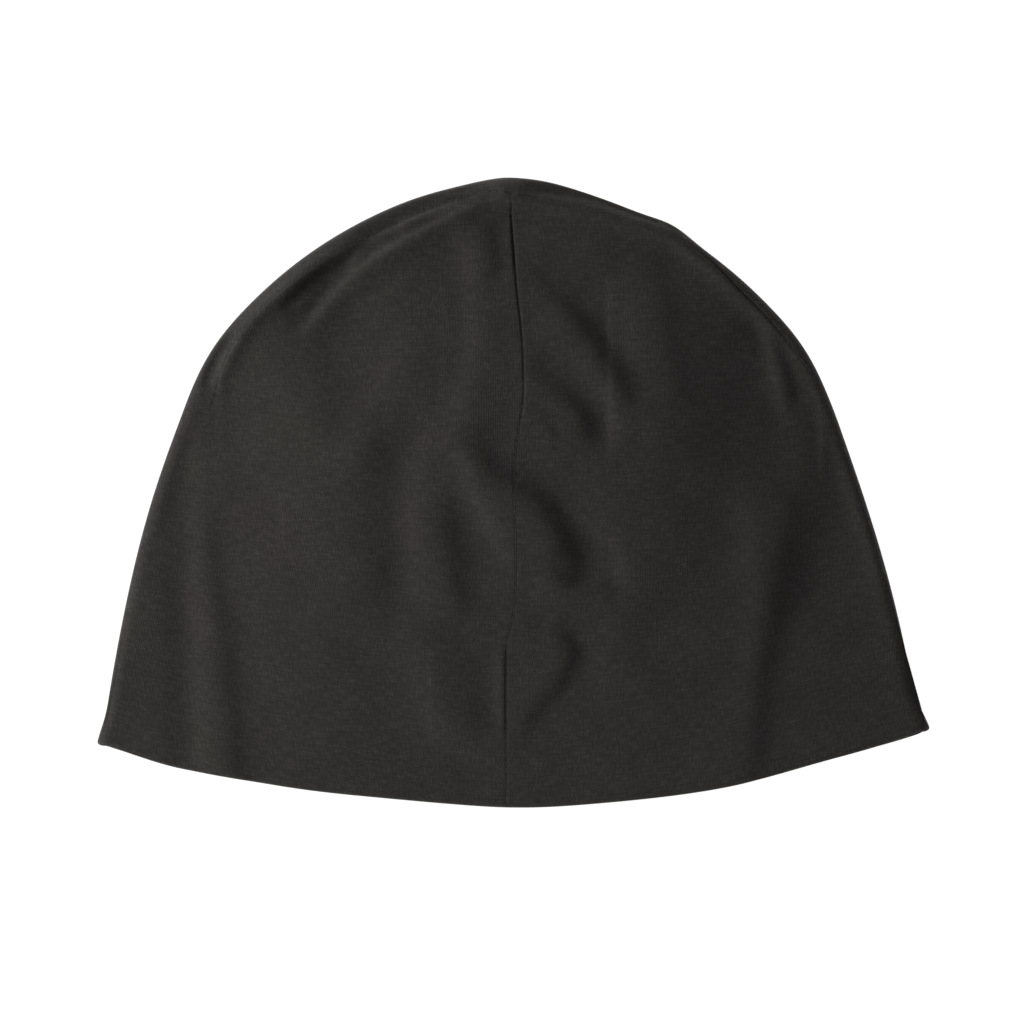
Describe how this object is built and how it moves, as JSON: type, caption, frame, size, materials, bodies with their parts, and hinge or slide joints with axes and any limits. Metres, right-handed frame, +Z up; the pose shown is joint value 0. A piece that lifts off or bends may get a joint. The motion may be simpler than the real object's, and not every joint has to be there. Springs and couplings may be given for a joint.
{
  "type": "beanie",
  "caption": "Close-fitting double-layer jersey beanie lying flat, with a full-height back seam, crown darts and a care label inside.",
  "frame": {"origin": "on the surface that the cap lies on, below the middle of its bounding box", "axes": "+X across the mouth, to the right as seen with the back seam on top; +Y from the hem to the crown; +Z up, out of the back wall"},
  "size_m": [0.2594, 0.1976, 0.022],
  "materials": {
    "shell_jersey": "fine charcoal knit, matt",
    "lining_jersey": "fine charcoal knit, matt",
    "thread": "twisted sewing thread",
    "label_tape": "smooth woven tape, slight sheen"
  },
  "bodies": {
    "cap": {"shell": "shell_jersey", "shell_back_seam": "thread", "shell_left_dart_seam": "thread", "shell_right_dart_seam": "thread", "shell_front_dart_seam": "thread", "lining": "lining_jersey", "lining_back_seam": "thread", "lining_left_dart_seam": "thread", "lining_right_dart_seam": "thread", "lining_front_dart_seam": "thread", "hem_seam": "thread", "crown_tack": "thread", "label_stitching": "thread"},
    "label": {"care_label": "label_tape"}
  },
  "joints": [
    {"name": "label_flap", "type": "hinge", "parent": "cap", "child": "label", "pos_m": [-0.00005, -0.06355, 0.01252], "axis": [0.0018, -0.9958, -0.0916], "range_deg": [0, 18]}
  ]
}
